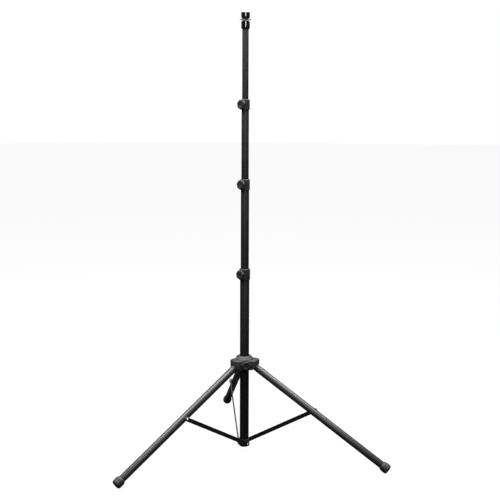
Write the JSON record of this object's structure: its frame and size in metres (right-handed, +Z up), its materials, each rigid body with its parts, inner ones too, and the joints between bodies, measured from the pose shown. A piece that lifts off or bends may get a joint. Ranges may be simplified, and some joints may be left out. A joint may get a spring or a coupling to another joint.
{
  "type": "telescopic tripod stand",
  "caption": "Black telescopic mast stand on a folding tripod base with round tube legs, flat struts, clamp collars with star knobs and a socket head with a loose ring.",
  "frame": {"origin": "on the floor, under the middle of the rectangle that the spread feet fill", "axes": "+Z up along the mast, +Y towards the rear leg, +X to the right"},
  "size_m": [1.0942, 0.9528, 1.8],
  "materials": {
    "mast_paint": "satin black powder coat on steel tube",
    "leg_paint": "satin black powder coat on steel tube",
    "strut_paint": "black paint on flat steel bar",
    "grey_plastic": "dark grey moulded plastic, fine grain",
    "black_plastic": "black moulded plastic, fine grain",
    "rubber": "black rubber, matte",
    "gloss_black": "gloss black lacquer on steel",
    "chrome": "bright chrome plate",
    "zinc": "bright zinc plate on steel",
    "nylon": "natural nylon, matte"
  },
  "bodies": {
    "base": {"base_tube": "mast_paint", "base_collar": "black_plastic", "base_clamp_pad": "nylon", "foot_bracket": "black_plastic", "rear_strut_foot_bolt": "zinc", "left_strut_foot_bolt": "zinc", "right_strut_foot_bolt": "zinc"},
    "base_clamp": {"base_clamp_screw": "zinc", "base_knob": "black_plastic"},
    "third": {"third_tube": "mast_paint", "third_guide_bush": "nylon", "third_collar": "black_plastic", "third_clamp_pad": "nylon"},
    "third_clamp": {"third_clamp_screw": "zinc", "third_knob": "black_plastic"},
    "second": {"second_tube": "mast_paint", "second_guide_bush": "nylon", "second_collar": "black_plastic", "second_clamp_pad": "nylon"},
    "second_clamp": {"second_clamp_screw": "zinc", "second_knob": "black_plastic"},
    "top": {"top_tube": "mast_paint", "top_guide_bush": "nylon", "head_base": "gloss_black", "head_socket": "gloss_black"},
    "ring": {"waist_ring": "chrome"},
    "hub": {"hub_body": "grey_plastic", "hub_clamp_pad": "nylon", "rear_leg_pin": "black_plastic", "left_leg_pin": "black_plastic", "right_leg_pin": "black_plastic"},
    "hub_clamp": {"hub_clamp_screw": "zinc", "hub_knob": "black_plastic"},
    "rear_leg": {"rear_leg_insert": "black_plastic", "rear_leg_tube": "leg_paint", "rear_leg_rivet": "black_plastic", "rear_strut_spacer": "black_plastic", "rear_foot_cap": "rubber"},
    "rear_strut": {"rear_strut": "strut_paint", "rear_strut_head_bolt": "zinc"},
    "left_leg": {"left_leg_insert": "black_plastic", "left_leg_tube": "leg_paint", "left_leg_rivet": "black_plastic", "left_strut_spacer": "black_plastic", "left_foot_cap": "rubber"},
    "left_strut": {"left_strut": "strut_paint", "left_strut_head_bolt": "zinc"},
    "right_leg": {"right_leg_insert": "black_plastic", "right_leg_tube": "leg_paint", "right_leg_rivet": "black_plastic", "right_strut_spacer": "black_plastic", "right_foot_cap": "rubber"},
    "right_strut": {"right_strut": "strut_paint", "right_strut_head_bolt": "zinc"}
  },
  "joints": [
    {"name": "third_slide", "type": "slide", "parent": "base", "child": "third", "axis": [0, 0, 1], "range_m": [-0.32, 0.2]},
    {"name": "second_slide", "type": "slide", "parent": "third", "child": "second", "axis": [0, 0, 1], "range_m": [-0.274, 0.21]},
    {"name": "top_slide", "type": "slide", "parent": "second", "child": "top", "axis": [0, 0, 1], "range_m": [-0.268, 0.19]},
    {"name": "ring_spin", "type": "hinge", "parent": "top", "child": "ring", "pos_m": [0, -0.15107, 1.7724], "axis": [0, 0, 1], "continuous": true},
    {"name": "base_knob_turn", "type": "hinge", "parent": "base", "child": "base_clamp", "pos_m": [-0.02298, -0.17035, 0.761], "axis": [-0.766, -0.6428, 0], "range_deg": [0, 270]},
    {"name": "third_knob_turn", "type": "hinge", "parent": "third", "child": "third_clamp", "pos_m": [-0.02298, -0.17035, 1.1275], "axis": [-0.766, -0.6428, 0], "range_deg": [0, 270]},
    {"name": "second_knob_turn", "type": "hinge", "parent": "second", "child": "second_clamp", "pos_m": [-0.02298, -0.17035, 1.445], "axis": [-0.766, -0.6428, 0], "range_deg": [0, 270]},
    {"name": "hub_slide", "type": "slide", "parent": "base", "child": "hub", "axis": [0, 0, 1], "range_m": [0, 0.314]},
    {"name": "hub_knob_turn", "type": "hinge", "parent": "hub", "child": "hub_clamp", "pos_m": [0, -0.20107, 0.3858], "axis": [0, -1, 0], "range_deg": [0, 270]},
    {"name": "rear_leg_fold", "type": "hinge", "parent": "hub", "child": "rear_leg", "pos_m": [0, -0.10907, 0.3778], "axis": [-1, 0, 0], "range_deg": [0, 54.7]},
    {"name": "rear_strut_fold", "type": "hinge", "parent": "base", "child": "rear_strut", "pos_m": [-0.0225, -0.15107, 0.0377], "axis": [1, 0, 0], "range_deg": [0, 50.35]},
    {"name": "left_leg_fold", "type": "hinge", "parent": "hub", "child": "left_leg", "pos_m": [-0.03637, -0.17207, 0.3778], "axis": [0.5, -0.866, 0], "range_deg": [0, 54.7]},
    {"name": "left_strut_fold", "type": "hinge", "parent": "base", "child": "left_strut", "pos_m": [0.01125, -0.17055, 0.0377], "axis": [-0.5, 0.866, 0], "range_deg": [0, 50.35]},
    {"name": "right_leg_fold", "type": "hinge", "parent": "hub", "child": "right_leg", "pos_m": [0.03637, -0.17207, 0.3778], "axis": [0.5, 0.866, 0], "range_deg": [0, 54.7]},
    {"name": "right_strut_fold", "type": "hinge", "parent": "base", "child": "right_strut", "pos_m": [0.01125, -0.13158, 0.0377], "axis": [-0.5, -0.866, 0], "range_deg": [0, 50.35]}
  ],
  "couplings": [
    {"joint": "rear_leg_fold", "follows": "hub_slide", "rad_per_m": 3.0389},
    {"joint": "rear_strut_fold", "follows": "hub_slide", "rad_per_m": 2.7959},
    {"joint": "left_leg_fold", "follows": "hub_slide", "rad_per_m": 3.0389},
    {"joint": "left_strut_fold", "follows": "hub_slide", "rad_per_m": 2.7959},
    {"joint": "right_leg_fold", "follows": "hub_slide", "rad_per_m": 3.0389},
    {"joint": "right_strut_fold", "follows": "hub_slide", "rad_per_m": 2.7959}
  ]
}
